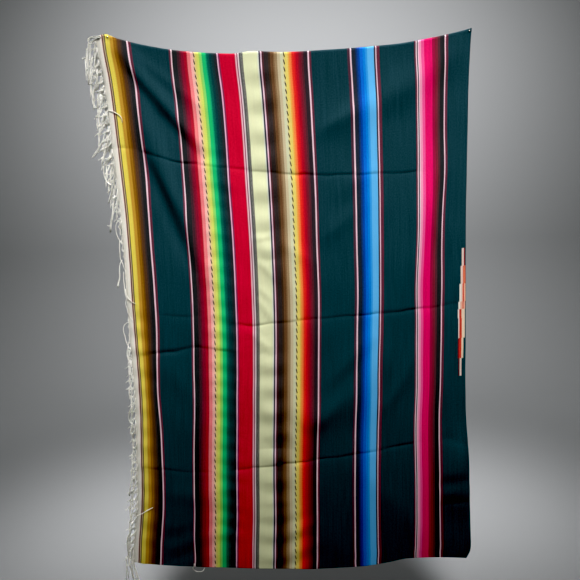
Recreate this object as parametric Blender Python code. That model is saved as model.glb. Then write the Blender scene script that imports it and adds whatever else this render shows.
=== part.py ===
"""A woven wool serape, folded in half across its stripes and hung on a wall from two pins.

The origin is at the left pin, on the face of the wall. +X runs along the top of the cloth
towards the fold, +Y goes into the wall and +Z is up. All sizes are in metres.

The cloth is one sheet: a front half, a soft turn at the right, and a back half behind it.
Both fringed ends come together at the left.
"""

import math
from bisect import bisect_right
from collections import namedtuple

import bmesh
import bpy
from mathutils import Vector

# Cloth: wall, layers and what keeps them apart
CLOTH_THICKNESS = 0.0018
PIECE_GAP = 0.0003
WALL_CLEARANCE = 0.0015
LAYER_CLEARANCE = 0.0025
BACK_FOLLOWS = 0.85         # share of the front's folds that the back half repeats
BACK_INSET = 0.006          # the back half's fringed end stays this far behind the front's

# Pins: a domed head, a round shank and a pointed tip that goes into the wall
RIGHT_PIN = (0.996, -0.011)  # x and z, from the left pin
PIN_HEAD_RADIUS = 0.0028
PIN_HEAD_HEIGHT = 0.0026
PIN_SHANK_RADIUS = 0.0006
PIN_DEPTH_IN_WALL = 0.010
PIN_TIP_LENGTH = 0.003
PIN_HEAD_CLEARANCE = 0.0006
PIN_SIDES = 20
PINNED_RADIUS = 0.030       # the cloth lies flat on the wall this close to a pin

# Forward swell of the hanging cloth, at its top and bottom edges
BELLY_TOP = 0.010
BELLY_BOTTOM = 0.006

# Fringe slabs: thickness, and the reach of the back one against the front one
FRONT_FRINGE_THICKNESS = 0.0036
BACK_FRINGE_THICKNESS = 0.0026
BACK_FRINGE_REACH = 0.85

# Side edges of the hung cloth, a row for each station down it
Side = namedtuple("Side", "down left right")
SIDES = (
    Side(0.00, -0.036, 1.004),
    Side(0.03, -0.031, 1.000),
    Side(0.08, -0.020, 0.996),
    Side(0.19, -0.007, 0.991),
    Side(0.34, 0.008, 0.985),
    Side(0.52, 0.011, 0.984),
    Side(0.68, 0.017, 0.984),
    Side(0.77, 0.013, 0.989),
    Side(0.88, 0.006, 0.994),
    Side(0.96, -0.010, 0.999),
    Side(0.985, -0.014, 0.997),
    Side(1.00, -0.016, 0.986),
)

# Top and bottom edges, a row for each station from the fringed end to the turn
Edge = namedtuple("Edge", "across top bottom")
EDGES = (
    Edge(0.00, 0.001, -1.516),
    Edge(0.03, 0.009, -1.524),
    Edge(0.05, -0.001, -1.525),
    Edge(0.08, -0.011, -1.528),
    Edge(0.14, -0.027, -1.533),
    Edge(0.20, -0.040, -1.537),
    Edge(0.28, -0.051, -1.541),
    Edge(0.37, -0.057, -1.546),
    Edge(0.41, -0.052, -1.548),
    Edge(0.50, -0.057, -1.551),
    Edge(0.60, -0.055, -1.552),
    Edge(0.70, -0.050, -1.548),
    Edge(0.77, -0.045, -1.539),
    Edge(0.82, -0.040, -1.530),
    Edge(0.90, -0.027, -1.530),
    Edge(0.96, -0.014, -1.533),
    Edge(1.00, -0.004, -1.536),
)

# Largest folds: soft ridges along a bowed line, each given by (x, z) points in the front view
Fold = namedtuple("Fold", "start middle end width height")
FOLDS = (
    Fold((0.015, -0.020), (0.105, -0.140), (0.225, -0.290), 0.026, 0.010),  # drag from the left pin
    Fold((0.060, -0.180), (0.120, -0.350), (0.222, -0.660), 0.030, 0.009),  # second drag, below it
    Fold((0.965, -0.060), (0.820, -0.170), (0.590, -0.270), 0.040, 0.005),  # drag from the right pin
    Fold((0.925, -0.340), (0.850, -0.520), (0.820, -0.760), 0.034, 0.006),  # fall beside the turn
    Fold((0.380, -0.840), (0.500, -1.300), (0.760, -0.900), 0.045, 0.008),  # swag between the drags
    Fold((0.975, -1.180), (0.945, -1.270), (0.955, -1.360), 0.050, 0.013),  # bulge near the lower turn
)
FOLD_STEPS = 10

# Reach of the fringe from the cloth's edge, a row for each station down the cloth
Reach = namedtuple("Reach", "down length")
FRINGE_REACH = (
    Reach(0.00, 0.026),
    Reach(0.05, 0.042),
    Reach(0.16, 0.036),
    Reach(0.22, 0.046),
    Reach(0.33, 0.040),
    Reach(0.38, 0.026),
    Reach(0.45, 0.030),
    Reach(0.52, 0.020),
    Reach(0.70, 0.018),
    Reach(0.79, 0.014),
    Reach(0.87, 0.026),
    Reach(1.00, 0.027),
)

# The longest warp ends hang below the lower left corner, a row for each height
Tail = namedtuple("Tail", "height left right")
FRINGE_TAIL = (
    Tail(-1.5190, -0.042, -0.020),
    Tail(-1.5450, -0.034, -0.010),
    Tail(-1.5750, -0.022, 0.002),
    Tail(-1.6200, -0.008, 0.014),
)

# Grid lines of the sheet: closer where the drag folds are
FRONT_STATIONS = (
    0.0, 0.02, 0.04, 0.06, 0.08, 0.10, 0.12, 0.14, 0.16, 0.18, 0.20, 0.22, 0.25, 0.30,
    0.36, 0.42, 0.48, 0.54, 0.60, 0.66, 0.72, 0.78, 0.82, 0.86, 0.90, 0.94, 0.97,
)
TURN_STEPS = 4
BACK_STATIONS = (0.97, 0.94, 0.90, 0.84, 0.76, 0.66, 0.54, 0.42, 0.30, 0.22, 0.16, 0.10, 0.04, 0.0)
UPPER_ROWS = 17             # rows in the upper part, where the drag folds are
UPPER_SHARE = 0.40          # how far down the upper part goes
LOWER_ROWS = 17

BACK_DEPTH = WALL_CLEARANCE + CLOTH_THICKNESS / 2
FRONT_DEPTH = BACK_DEPTH + CLOTH_THICKNESS + LAYER_CLEARANCE


def clear_scene():
    for item in list(bpy.data.objects):
        bpy.data.objects.remove(item, do_unlink=True)


def read_table(table, column, station):
    """The column's value at a station, on a smooth curve through the table's rows."""
    stations = [row[0] for row in table]
    values = [getattr(row, column) for row in table]
    index = min(max(bisect_right(stations, station) - 1, 0), len(table) - 2)

    def slope(at):
        low, high = max(at - 1, 0), min(at + 1, len(table) - 1)
        return (values[high] - values[low]) / (stations[high] - stations[low])

    span = stations[index + 1] - stations[index]
    step = (station - stations[index]) / span
    start, end = values[index], values[index + 1]
    return (
        (2 * step**3 - 3 * step**2 + 1) * start
        + (step**3 - 2 * step**2 + step) * span * slope(index)
        + (3 * step**2 - 2 * step**3) * end
        + (step**3 - step**2) * span * slope(index + 1)
    )


def fold_line(fold):
    """Points along a fold, from a curve that bows towards its middle point."""
    start, middle, end = (Vector(point) for point in (fold.start, fold.middle, fold.end))
    points = []
    for step in range(FOLD_STEPS + 1):
        share = step / FOLD_STEPS
        points.append(start * (1 - share) ** 2 + middle * 2 * share * (1 - share) + end * share**2)
    return points


FOLD_LINES = [fold_line(fold) for fold in FOLDS]


def fold_height(fold, line, x, z):
    """Height of one fold over a place: a bell across it that fades out towards its ends."""
    place = Vector((x, z))
    distances = [(place - point).length for point in line]
    nearest = min(range(len(line)), key=distances.__getitem__)
    fade = math.sin(math.pi * (nearest + 0.5) / len(line)) ** 0.5
    return fold.height * fade * math.exp(-((distances[nearest] / fold.width) ** 2))


def stand_off(x, z, across, down):
    """How far the front half stands out from where it would lie flat."""
    belly = BELLY_TOP + (BELLY_BOTTOM - BELLY_TOP) * down
    height = belly * math.sin(math.pi * min(max(across, 0), 1))
    for fold, line in zip(FOLDS, FOLD_LINES):
        height += fold_height(fold, line, x, z)
    for pin_x, pin_z in ((0.0, 0.0), RIGHT_PIN):
        distance = math.hypot(x - pin_x, z - pin_z)
        height *= 1 - math.exp(-((distance / PINNED_RADIUS) ** 2))
    return height


def front_place(across, down):
    """The x and z of a place on the front half, and how far the sheet is from the wall."""
    left = read_table(SIDES, "left", down)
    right = read_table(SIDES, "right", down) - FRONT_DEPTH / 2
    top = read_table(EDGES, "top", across)
    bottom = read_table(EDGES, "bottom", across)
    x = left + (right - left) * across
    z = top + (bottom - top) * down
    return x, z, FRONT_DEPTH + stand_off(x, z, across, down)


def back_depth(front_depth):
    return BACK_DEPTH + BACK_FOLLOWS * (front_depth - FRONT_DEPTH)


def sheet_place(station, down):
    """A place on the sheet's middle surface, on its front half, its turn or its back half."""
    layer, position = station
    if layer == "front":
        x, z, depth = front_place(position, down)
        return Vector((x, -depth, z))
    x, z, depth = front_place(1.0, down)
    middle, radius = (depth + back_depth(depth)) / 2, (depth - back_depth(depth)) / 2
    if layer == "turn":
        return Vector((x + radius * math.sin(position), -middle - radius * math.cos(position), z))
    x, z, depth = front_place(position, down)
    return Vector((x + BACK_INSET * (1 - position), -back_depth(depth), z))


def sheet_stations():
    """Every grid line of the sheet, from the front's fringed end round to the back's."""
    turns = [("turn", math.pi * step / TURN_STEPS) for step in range(TURN_STEPS + 1)]
    fronts = [("front", across) for across in FRONT_STATIONS]
    backs = [("back", across) for across in BACK_STATIONS]
    return fronts + turns + backs


def sheet_rows():
    """Shares of the way down: fine rows in the upper part, wider ones below."""
    upper = [UPPER_SHARE * row / UPPER_ROWS for row in range(UPPER_ROWS)]
    lower = [UPPER_SHARE + (1 - UPPER_SHARE) * row / LOWER_ROWS for row in range(LOWER_ROWS + 1)]
    return upper + lower


def plain_material(name, colour, roughness, metallic=0.0):
    material = bpy.data.materials.new(name)
    material.use_nodes = True
    shader = material.node_tree.nodes["Principled BSDF"]
    shader.inputs["Base Color"].default_value = (*colour, 1.0)
    shader.inputs["Roughness"].default_value = roughness
    shader.inputs["Metallic"].default_value = metallic
    return material


def add_object(name, mesh_builder, material):
    mesh = bpy.data.meshes.new(name)
    mesh_builder.to_mesh(mesh)
    mesh_builder.free()
    item = bpy.data.objects.new(name, mesh)
    bpy.context.collection.objects.link(item)
    item.data.materials.append(material)
    return item


def make_cloth():
    """The sheet as a grid bent into a narrow U, then given its thickness."""
    stations, rows = sheet_stations(), sheet_rows()
    columns, lines = len(stations) - 1, len(rows) - 1
    sheet = bmesh.new()
    bmesh.ops.create_grid(sheet, x_segments=columns, y_segments=lines, size=0.5)
    for vertex in sheet.verts:
        column = round((vertex.co.x + 0.5) * columns)
        line = round((0.5 - vertex.co.y) * lines)
        vertex.co = sheet_place(stations[column], rows[line])
    cloth = add_object("serape_cloth", sheet, plain_material("wool", (0.01, 0.06, 0.07), 0.85))
    wall = cloth.modifiers.new("thickness", "SOLIDIFY")
    wall.thickness = CLOTH_THICKNESS
    wall.offset = 0.0
    wall.use_even_offset = True
    cloth.data.shade_smooth()
    return cloth


def spin_profile(profile, origin):
    """A closed turned body: (radius, y) points from pole to pole, spun about a line along Y."""
    body = bmesh.new()
    points = [body.verts.new((origin.x + radius, origin.y + y, origin.z)) for radius, y in profile]
    edges = [body.edges.new(pair) for pair in zip(points, points[1:])]
    bmesh.ops.spin(
        body, geom=points + edges, cent=origin, axis=(0, 1, 0), angle=2 * math.pi,
        steps=PIN_SIDES, use_merge=True, use_duplicate=False,
    )
    bmesh.ops.remove_doubles(body, verts=body.verts, dist=0.00001)
    bmesh.ops.recalc_face_normals(body, faces=body.faces)
    return body


def make_pin(name, x, z, material):
    """A wall pin: its head rests on the cloth and its tip ends inside the wall."""
    head_face = -(FRONT_DEPTH + CLOTH_THICKNESS / 2 + PIN_HEAD_CLEARANCE)
    dome_steps = 5
    profile = []
    for step in range(dome_steps + 1):
        angle = math.pi / 2 * step / dome_steps
        profile.append((PIN_HEAD_RADIUS * math.sin(angle), head_face - PIN_HEAD_HEIGHT * math.cos(angle)))
    profile += [
        (PIN_SHANK_RADIUS, head_face),
        (PIN_SHANK_RADIUS, PIN_DEPTH_IN_WALL - PIN_TIP_LENGTH),
        (0.0, PIN_DEPTH_IN_WALL),
    ]
    pin = add_object(name, spin_profile(profile, Vector((x, 0, z))), material)
    pin.data.shade_smooth()
    return pin


def cut_pin_hole(cloth, name, x, z):
    """A round hole through both layers, just wider than the pin's shank."""
    radius, reach = PIN_SHANK_RADIUS + PIECE_GAP, 2 * FRONT_DEPTH
    profile = [(0.0, -reach), (radius, -reach), (radius, reach), (0.0, reach)]
    cutter = add_object(name, spin_profile(profile, Vector((x, 0, z))), cloth.data.materials[0])
    cutter.hide_render = True
    cutter.display_type = "WIRE"
    cut = cloth.modifiers.new(name, "BOOLEAN")
    cut.operation = "DIFFERENCE"
    cut.solver = "EXACT"
    cut.object = cutter


def fringe_rows(reach_share, inset):
    """The slab's outline: (left, right, z, down) from the top corner to the end of the tail."""
    rows = []
    for down in sheet_rows():
        x, z, _ = front_place(0.0, down)
        edge = x + inset - PIECE_GAP
        rows.append((edge - read_table(FRINGE_REACH, "length", down) * reach_share, edge, z, down))
    for row in FRINGE_TAIL:
        rows.append((row.left + inset, row.right + inset * reach_share, row.height, 1.0))
    return rows


def make_fringe(name, thickness, reach_share, inset, depth_of, material):
    """The reach of one end's warp ends: a thin slab beside the cloth's edge."""
    slab = bmesh.new()
    rings = []
    for left, right, z, down in fringe_rows(reach_share, inset):
        depth = depth_of(front_place(0.0, down)[2])
        near, far = -depth - thickness / 2, -depth + thickness / 2
        corners = ((left, near), (right, near), (right, far), (left, far))
        rings.append([slab.verts.new((x, y, z)) for x, y in corners])
    for upper, lower in zip(rings, rings[1:]):
        for corner in range(4):
            after = (corner + 1) % 4
            slab.faces.new((upper[corner], upper[after], lower[after], lower[corner]))
    slab.faces.new(rings[0])
    slab.faces.new(rings[-1])
    bmesh.ops.recalc_face_normals(slab, faces=slab.faces)
    return add_object(name, slab, material)


clear_scene()

serape_cloth = make_cloth()
cotton = plain_material("cotton", (0.80, 0.76, 0.66), 0.9)
make_fringe("fringe_front", FRONT_FRINGE_THICKNESS, 1.0, 0.0, lambda depth: depth, cotton)
make_fringe("fringe_back", BACK_FRINGE_THICKNESS, BACK_FRINGE_REACH, BACK_INSET, back_depth, cotton)

steel = plain_material("pin_steel", (0.75, 0.75, 0.74), 0.25, metallic=1.0)
for side, (pin_x, pin_z) in (("left", (0.0, 0.0)), ("right", RIGHT_PIN)):
    make_pin(f"pin_{side}", pin_x, pin_z, steel)
    cut_pin_hole(serape_cloth, f"pin_hole_{side}", pin_x, pin_z)
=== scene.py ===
"""A woven wool serape, folded in half across its stripes and hung from two pins.

All sizes are in metres unless a comment says mm. The origin is at the left pin, on the face of
the wall: +X runs along the top of the cloth towards the fold, +Y into the wall, +Z up.
"""

import math
import random
from collections import namedtuple
from functools import partialmethod

import bmesh
import bpy
import numpy as np
from mathutils import Matrix, Vector
from mathutils.bvhtree import BVHTree


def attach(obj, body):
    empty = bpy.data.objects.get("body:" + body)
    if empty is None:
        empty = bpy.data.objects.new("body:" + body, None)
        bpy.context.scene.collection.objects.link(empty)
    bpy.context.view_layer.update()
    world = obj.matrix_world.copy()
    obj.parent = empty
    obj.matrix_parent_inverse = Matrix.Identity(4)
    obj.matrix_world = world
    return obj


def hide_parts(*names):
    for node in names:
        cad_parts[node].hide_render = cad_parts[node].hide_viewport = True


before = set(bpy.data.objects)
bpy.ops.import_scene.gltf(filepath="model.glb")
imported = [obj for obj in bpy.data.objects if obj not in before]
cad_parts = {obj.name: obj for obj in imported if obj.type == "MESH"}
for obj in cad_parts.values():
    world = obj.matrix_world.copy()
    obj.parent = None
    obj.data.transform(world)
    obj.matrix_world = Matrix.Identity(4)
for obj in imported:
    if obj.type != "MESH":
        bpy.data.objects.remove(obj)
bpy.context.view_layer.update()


# The cloth.
# One length of weft-faced wool on a cotton warp, about 2.06 m by 1.52 m, folded once across
# its stripes. Both halves hang from two pins, so it drags from them and sags between.

FRONT_DEPTH = 0.0067        # the front half's middle surface stands this far off the wall
BACK_DEPTH = 0.0024         # and the back half's
BACK_FOLLOWS = 0.85         # share of the front's folds that the back half repeats
BACK_INSET = 0.006          # the back half's fringed end stays this far behind the front's
CLOTH_THICKNESS = 0.0016
RIGHT_PIN = (0.996, -0.011)
PINNED_RADIUS = 0.030       # the cloth lies flat on the wall this close to a pin
BELLY_TOP, BELLY_BOTTOM = 0.010, 0.006

CLOTH_WIDTH = 1.524         # selvage to selvage, along the stripes
CLOTH_HALF = 1.030          # header to fold, across the stripes
TURN_LENGTH = math.pi * (FRONT_DEPTH - BACK_DEPTH) / 2
FACE_LENGTH = CLOTH_HALF - TURN_LENGTH / 2

Side = namedtuple("Side", "down left right")
SIDES = (
    Side(0.00, -0.036, 1.004), Side(0.03, -0.031, 1.000), Side(0.08, -0.020, 0.996),
    Side(0.19, -0.007, 0.992), Side(0.34, 0.008, 0.988), Side(0.52, 0.011, 0.988),
    Side(0.68, 0.017, 0.988), Side(0.77, 0.013, 0.9935), Side(0.88, 0.006, 0.9995),
    Side(0.96, -0.010, 1.0045), Side(0.985, -0.014, 1.0025), Side(1.00, -0.016, 0.991),
)

Edge = namedtuple("Edge", "across top bottom")
EDGES = (
    Edge(0.00, 0.001, -1.516), Edge(0.03, 0.009, -1.524), Edge(0.05, -0.001, -1.525),
    Edge(0.08, -0.011, -1.528), Edge(0.14, -0.027, -1.533), Edge(0.20, -0.040, -1.537),
    Edge(0.28, -0.051, -1.541), Edge(0.37, -0.057, -1.546), Edge(0.41, -0.052, -1.548),
    Edge(0.50, -0.057, -1.551), Edge(0.60, -0.055, -1.552), Edge(0.70, -0.050, -1.548),
    Edge(0.77, -0.045, -1.539), Edge(0.82, -0.040, -1.530), Edge(0.90, -0.027, -1.530),
    Edge(0.96, -0.014, -1.533), Edge(1.00, -0.004, -1.536),
)

# How far the stripes have crept sideways, in mm to the right. Each row is a station down the
# cloth, with the shift at each CREEP_AT distance from the header, in mm.
CREEP_AT = (0, 32, 90, 200, 245, 335, 440, 580, 700, 775, 890, 960, 1030)
CREEP = (
    (0.00, (3, 3, 3, 9, 8, 2, 3, 0, -4, -5, -6, -6, 0)),
    (0.06, (3, 2, 6, 5, 6, 4, 3, 1, 0, -1, -1, -2, 0)),
    (0.15, (3, 2, 6, 6, 6, 4, 4, 2, 2, 2, 3, -1, 0)),
    (0.25, (1, 1, 4, 3, 4, 1, 4, 3, 2, 3, 4, 1, 0)),
    (0.35, (0, 0, -1, 0, 2, 1, 3, 1, 1, 2, 2, -5, 0)),
    (0.45, (1, 1, 1, 2, 3, 1, 3, 2, 1, 0, -5, -6, 0)),
    (0.52, (2, 1, 1, 0, 2, 0, 1, -1, -3, -3, -4, -8, 0)),
    (0.60, (2, 1, -7, -7, -4, -6, -5, -6, -8, -9, -6, -10, 0)),
    (0.66, (0, 0, -12, -11, -9, -12, -10, -10, -12, -11, -7, -13, 0)),
    (0.74, (0, -1, -7, -18, -15, -17, -16, -17, -19, -18, -15, -20, 0)),
    (0.84, (0, -1, -4, -21, -19, -21, -20, -23, -25, -25, -18, -25, 0)),
    (0.92, (0, -1, -3, -18, -16, -20, -19, -23, -26, -26, -22, -27, 0)),
    (0.985, (2, 1, -1, -9, -10, -16, -16, -20, -23, -23, -23, -26, 0)),
    (1.00, (2, 1, 0, -7, -7, -12, -11, -14, -14, -15, -13, -15, 0)),
)

# Folds of the hang, in mm: soft ridges along bowed lines given by (x, z) points of the front.
# A hollow has a negative height.
Fold = namedtuple("Fold", "start middle end width height")
FOLDS = (
    Fold((15, -20), (105, -140), (225, -290), 23, 12),
    Fold((75, -175), (135, -345), (237, -655), 24, 13),
    Fold((965, -60), (820, -170), (590, -270), 40, 5),
    Fold((925, -340), (850, -520), (820, -760), 34, 6),
    Fold((380, -840), (500, -1300), (760, -900), 48, 6),
    Fold((975, -1180), (945, -1270), (955, -1360), 50, 13),
    # hollows under the two drags from the left pin, and short drags beside them
    Fold((20, -45), (70, -130), (160, -225), 16, -6),
    Fold((140, -215), (200, -275), (262, -350), 18, -5.6),
    Fold((60, -290), (128, -450), (212, -650), 18, -7.5),
    Fold((150, -170), (230, -300), (320, -420), 16, 3),
    Fold((50, -30), (150, -120), (260, -200), 14, 3),
    Fold((90, -300), (150, -420), (200, -520), 14, 3),
    Fold((700, -200), (640, -235), (575, -275), 18, 2.4),
    Fold((700, -470), (640, -520), (580, -570), 20, 2.4),
    Fold((760, -360), (690, -400), (620, -450), 20, 1.8),
    Fold((857, -420), (890, -500), (913, -600), 16, 2),
    # swags below the slack middle
    Fold((360, -470), (420, -640), (530, -760), 22, 3),
    Fold((420, -520), (470, -600), (560, -640), 18, 2.2),
    Fold((730, -840), (660, -900), (600, -980), 22, 3.6),
    Fold((840, -900), (800, -1010), (730, -1080), 18, 3.6),
    Fold((640, -1010), (580, -1090), (520, -1120), 20, 2.6),
    Fold((350, -940), (400, -1100), (510, -1170), 24, 3.4),
    Fold((120, -940), (200, -1020), (230, -1120), 26, 2.6),
    # crumples in the pale band
    Fold((384, -612), (410, -640), (440, -686), 7, 3.4),
    Fold((392, -700), (408, -712), (424, -740), 6, 3),
    Fold((388, -735), (410, -760), (436, -806), 7, 3.2),
    Fold((380, -560), (410, -566), (446, -548), 8, 2.6),
    Fold((366, -830), (390, -850), (430, -900), 8, 2.8),
    Fold((360, -1178), (420, -1174), (480, -1180), 4, -0.7),
    # the loose lower corner beside the fold
    Fold((880, -1160), (930, -1170), (985, -1150), 14, -1),
    Fold((890, -1300), (930, -1304), (985, -1290), 20, -3.2),
    Fold((820, -1300), (850, -1420), (830, -1500), 30, 3),
    Fold((640, -1240), (740, -1300), (800, -1400), 34, 3.6),
    Fold((80, -1300), (180, -1330), (300, -1300), 30, 2.6),
)
FOLD_POINTS = 40

# Sharp creases left from storage, in mm, nearly level: hollows along (x, z) points.
Crease = namedtuple("Crease", "route depth width")
CREASES = (
    Crease(((0, -297), (60, -303), (141, -335), (309, -362), (519, -388),
            (700, -392), (860, -389)), 2.6, 4.2),
    Crease(((52, -888), (130, -880), (216, -869), (316, -890)), 3.2, 5.2),
    Crease(((330, -806), (377, -810), (565, -795), (700, -789), (825, -779),
            (975, -764)), 2.4, 4.4),
    Crease(((34, -1226), (130, -1238), (240, -1246)), 1.5, 4.5),
    Crease(((290, -1240), (347, -1236), (525, -1217), (700, -1196), (845, -1170)),
           2.6, 4.4),
    Crease(((110, -770), (170, -780), (250, -766)), 1.4, 6),
)

# Level cockles where the weft is slack, in mm, fading out at their rims
Cockle = namedtuple("Cockle", "left right top bottom spacing height")
COCKLES = (
    Cockle(340, 570, -1350, -1560, 68, 1.6),
    Cockle(360, 490, -60, -640, 82, 1.9),
    Cockle(360, 490, -840, -1360, 70, 1.6),
    Cockle(60, 340, -1380, -1540, 70, 0.9),
    Cockle(-20, 100, -680, -1500, 58, 0.9),
    Cockle(210, 350, -260, -1500, 47, 0.7),
)


def read_table(stations, values, at):
    """The value at each place, on a smooth curve through the stations."""
    stations, values, at = (np.asarray(row, float) for row in (stations, values, at))
    low = np.maximum(np.arange(len(stations)) - 1, 0)
    high = np.minimum(np.arange(len(stations)) + 1, len(stations) - 1)
    slope = (values[high] - values[low]) / (stations[high] - stations[low])
    index = np.clip(np.searchsorted(stations, at, side="right") - 1, 0, len(stations) - 2)
    span = stations[index + 1] - stations[index]
    step = (at - stations[index]) / span
    return (
        (2 * step**3 - 3 * step**2 + 1) * values[index]
        + (step**3 - 2 * step**2 + step) * span * slope[index]
        + (3 * step**2 - 2 * step**3) * values[index + 1]
        + (step**3 - step**2) * span * slope[index + 1]
    )


def smooth_rise(at, start, end):
    """0 before start, 1 after end and an eased rise between them."""
    share = np.clip((at - start) / (end - start), 0, 1)
    return share * share * (3 - 2 * share)


def fold_relief(fold, x, z):
    """A rounded ridge, highest at the middle of its line and low at both ends."""
    nearest = np.full(x.shape, np.inf)
    fade = np.zeros(x.shape)
    start, middle, end = (Vector((x_mm / 1000, z_mm / 1000)) for x_mm, z_mm in fold[:3])
    for step in range(FOLD_POINTS + 1):
        share = step / FOLD_POINTS
        point = start * (1 - share) ** 2 + middle * 2 * share * (1 - share) + end * share**2
        distance = np.hypot(x - point.x, z - point.y)
        closer = distance < nearest
        nearest = np.where(closer, distance, nearest)
        fade = np.where(closer, math.sin(math.pi * (0.04 + 0.92 * share)) ** 0.5, fade)
    return fold.height / 1000 * fade * np.exp(-((nearest * 1000 / fold.width) ** 2))


CREASE_LIP, CREASE_SLOPE = 0.55, 1.7     # a crease is steep above its line and slopes out below


def crease_relief(crease, x, z):
    """A narrow hollow, unevenly deep along its length and fading out at its ends."""
    route = np.array(crease.route) / 1000
    start, end = route[0, 0], route[-1, 0]
    line = read_table(route[:, 0], route[:, 1], np.clip(x, start, end))
    wander = 0.0016 * np.sin(x * 61 + start * 40) + 0.0010 * np.sin(x * 143 + end * 30)
    uneven = 0.72 + 0.28 * np.sin(x * 27 + start * 90) * np.sin(x * 11.3 + end * 17)
    fade = smooth_rise(x, start - 0.03, start + 0.03) * (
        1 - smooth_rise(x, end - 0.04, end + 0.03))
    above = z - line - wander
    distance = np.where(above > 0, above / CREASE_LIP, -above / CREASE_SLOPE)
    return -crease.depth / 1000 * uneven * fade * np.exp(-distance * 1000 / crease.width)


COCKLE_RIM, COCKLE_LOWER_RIM = 0.06, 0.02


def cockle_relief(cockle, x, z):
    """Level waves that bend a little across the stripes, inside the cockle's own area."""
    left, right, top, bottom, spacing, height = (size / 1000 for size in cockle)
    wave = np.sin(2 * math.pi * (z / spacing + 0.35 * np.sin(x * 19)) + 2.2 * x)
    across = smooth_rise(x, left, left + COCKLE_RIM) * (
        1 - smooth_rise(x, right - COCKLE_RIM, right))
    down = smooth_rise(-z, -top, -top + COCKLE_RIM) * (
        1 - smooth_rise(-z, -bottom - COCKLE_LOWER_RIM, -bottom))
    return height * wave * across * down


RIPPLE = 0.0007             # a faint unevenness all over
DEEPEST_HOLLOW = 0.0012     # no hollow reaches the back half


def front_place(across, down):
    """The x and z of places on the front half, and how far each is from the wall."""
    downs, lefts, rights = zip(*SIDES)
    left = read_table(downs, lefts, down)
    right = read_table(downs, rights, down) - FRONT_DEPTH / 2
    shares, tops, bottoms = zip(*EDGES)
    top, bottom = read_table(shares, tops, across), read_table(shares, bottoms, across)
    x = left + (right - left) * across
    z = top + (bottom - top) * down
    belly = BELLY_TOP + (BELLY_BOTTOM - BELLY_TOP) * down
    height = belly * np.sin(math.pi * np.clip(across, 0, 1))
    for shapes, relief in ((FOLDS, fold_relief), (CREASES, crease_relief),
                           (COCKLES, cockle_relief)):
        for shape in shapes:
            height = height + relief(shape, x, z)
    height = height + RIPPLE * np.sin(31 * x + 17 * z) * np.sin(23 * z - 11 * x)
    for pin_x, pin_z in ((0.0, 0.0), RIGHT_PIN):
        distance = np.hypot(x - pin_x, z - pin_z)
        height = height * (1 - np.exp(-((distance / PINNED_RADIUS) ** 2)))
    return x, z, FRONT_DEPTH + np.maximum(height, -DEEPEST_HOLLOW)


def back_depth(front_depth):
    """How far the back half is from the wall, behind a place on the front half."""
    return BACK_DEPTH + BACK_FOLLOWS * np.maximum(front_depth - FRONT_DEPTH, 0)


def across_of(woven, down):
    """How far across the front a place is, from its distance along the warp to the header."""
    stations, shifts = zip(*CREEP)
    shifts = np.array([read_table(CREEP_AT, row, woven * 1000) for row in shifts])
    shifts = shifts.reshape(len(CREEP), -1)
    creep = np.empty(woven.shape)
    for place in range(woven.size):
        creep.flat[place] = read_table(stations, shifts[:, place], down.flat[place])
    return (woven + creep / 1000) / FACE_LENGTH


FRONT_COLUMNS, BACK_COLUMNS, TURN_COLUMNS = 96, 40, 6
ROW_PITCH = (                # (down, row height in mm): closer rows where the creases lie
    (0.000, 6.0), (0.180, 6.0), (0.192, 2.6), (0.238, 2.6), (0.250, 6.5), (0.475, 6.5),
    (0.486, 2.8), (0.600, 2.8), (0.612, 7.0), (0.740, 7.0), (0.752, 2.8), (0.815, 2.8),
    (0.830, 6.5), (1.000, 6.5),
)


def row_stations():
    """Shares of the way down for every row of the cloth, from the pitch table."""
    stations, down = [0.0], 0.0
    downs, pitches = zip(*ROW_PITCH)
    while down < 1.0:
        down += float(np.interp(down, downs, pitches)) / 1000 / CLOTH_WIDTH
        stations.append(min(down, 1.0))
    return stations


rows = row_stations()
woven_front = [FACE_LENGTH * step / FRONT_COLUMNS for step in range(FRONT_COLUMNS + 1)]
woven_back = [FACE_LENGTH * step / BACK_COLUMNS for step in range(BACK_COLUMNS + 1)]
turn_angles = [math.pi * step / TURN_COLUMNS for step in range(1, TURN_COLUMNS)]


def hung_sheet():
    """Every vertex place and woven place of the sheet: columns round it, rows down it."""
    down, woven = np.meshgrid(rows, woven_front)
    across = across_of(woven, down)
    x, z, depth = front_place(across, down)
    places = [np.stack((x, -depth, z), -1)]
    woven_places = [np.stack((woven, down * CLOTH_WIDTH), -1)]

    down = np.array(rows)
    x, z, depth = (row[-1] for row in (x, z, depth))
    middle, radius = (depth + back_depth(depth)) / 2, (depth - back_depth(depth)) / 2
    for angle in turn_angles:
        turned = (x + radius * math.sin(angle), -middle - radius * math.cos(angle), z)
        places.append(np.stack(turned, -1)[None])
        woven = np.full(down.shape, FACE_LENGTH + TURN_LENGTH * angle / math.pi)
        woven_places.append(np.stack((woven, down * CLOTH_WIDTH), -1)[None])

    down, woven = np.meshgrid(rows, woven_back[::-1])
    across = across_of(woven, down)
    x, z, depth = front_place(across, down)
    x = x + BACK_INSET * (1 - across)
    places.append(np.stack((x, -back_depth(depth), z), -1))
    woven_places.append(np.stack((2 * CLOTH_HALF - woven, down * CLOTH_WIDTH), -1))
    return np.concatenate(places), np.concatenate(woven_places)


places, woven_places = hung_sheet()
columns, lines = len(places) - 1, len(rows) - 1
sheet = bmesh.new()
bmesh.ops.create_grid(sheet, x_segments=columns, y_segments=lines, size=0.5)
woven_layer = sheet.verts.layers.float_vector.new("woven")
for vertex in sheet.verts:
    step = round((vertex.co.x + 0.5) * columns)
    line = round((0.5 - vertex.co.y) * lines)
    vertex.co = places[step, line]
    vertex[woven_layer] = (*woven_places[step, line], 0.0)


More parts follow.
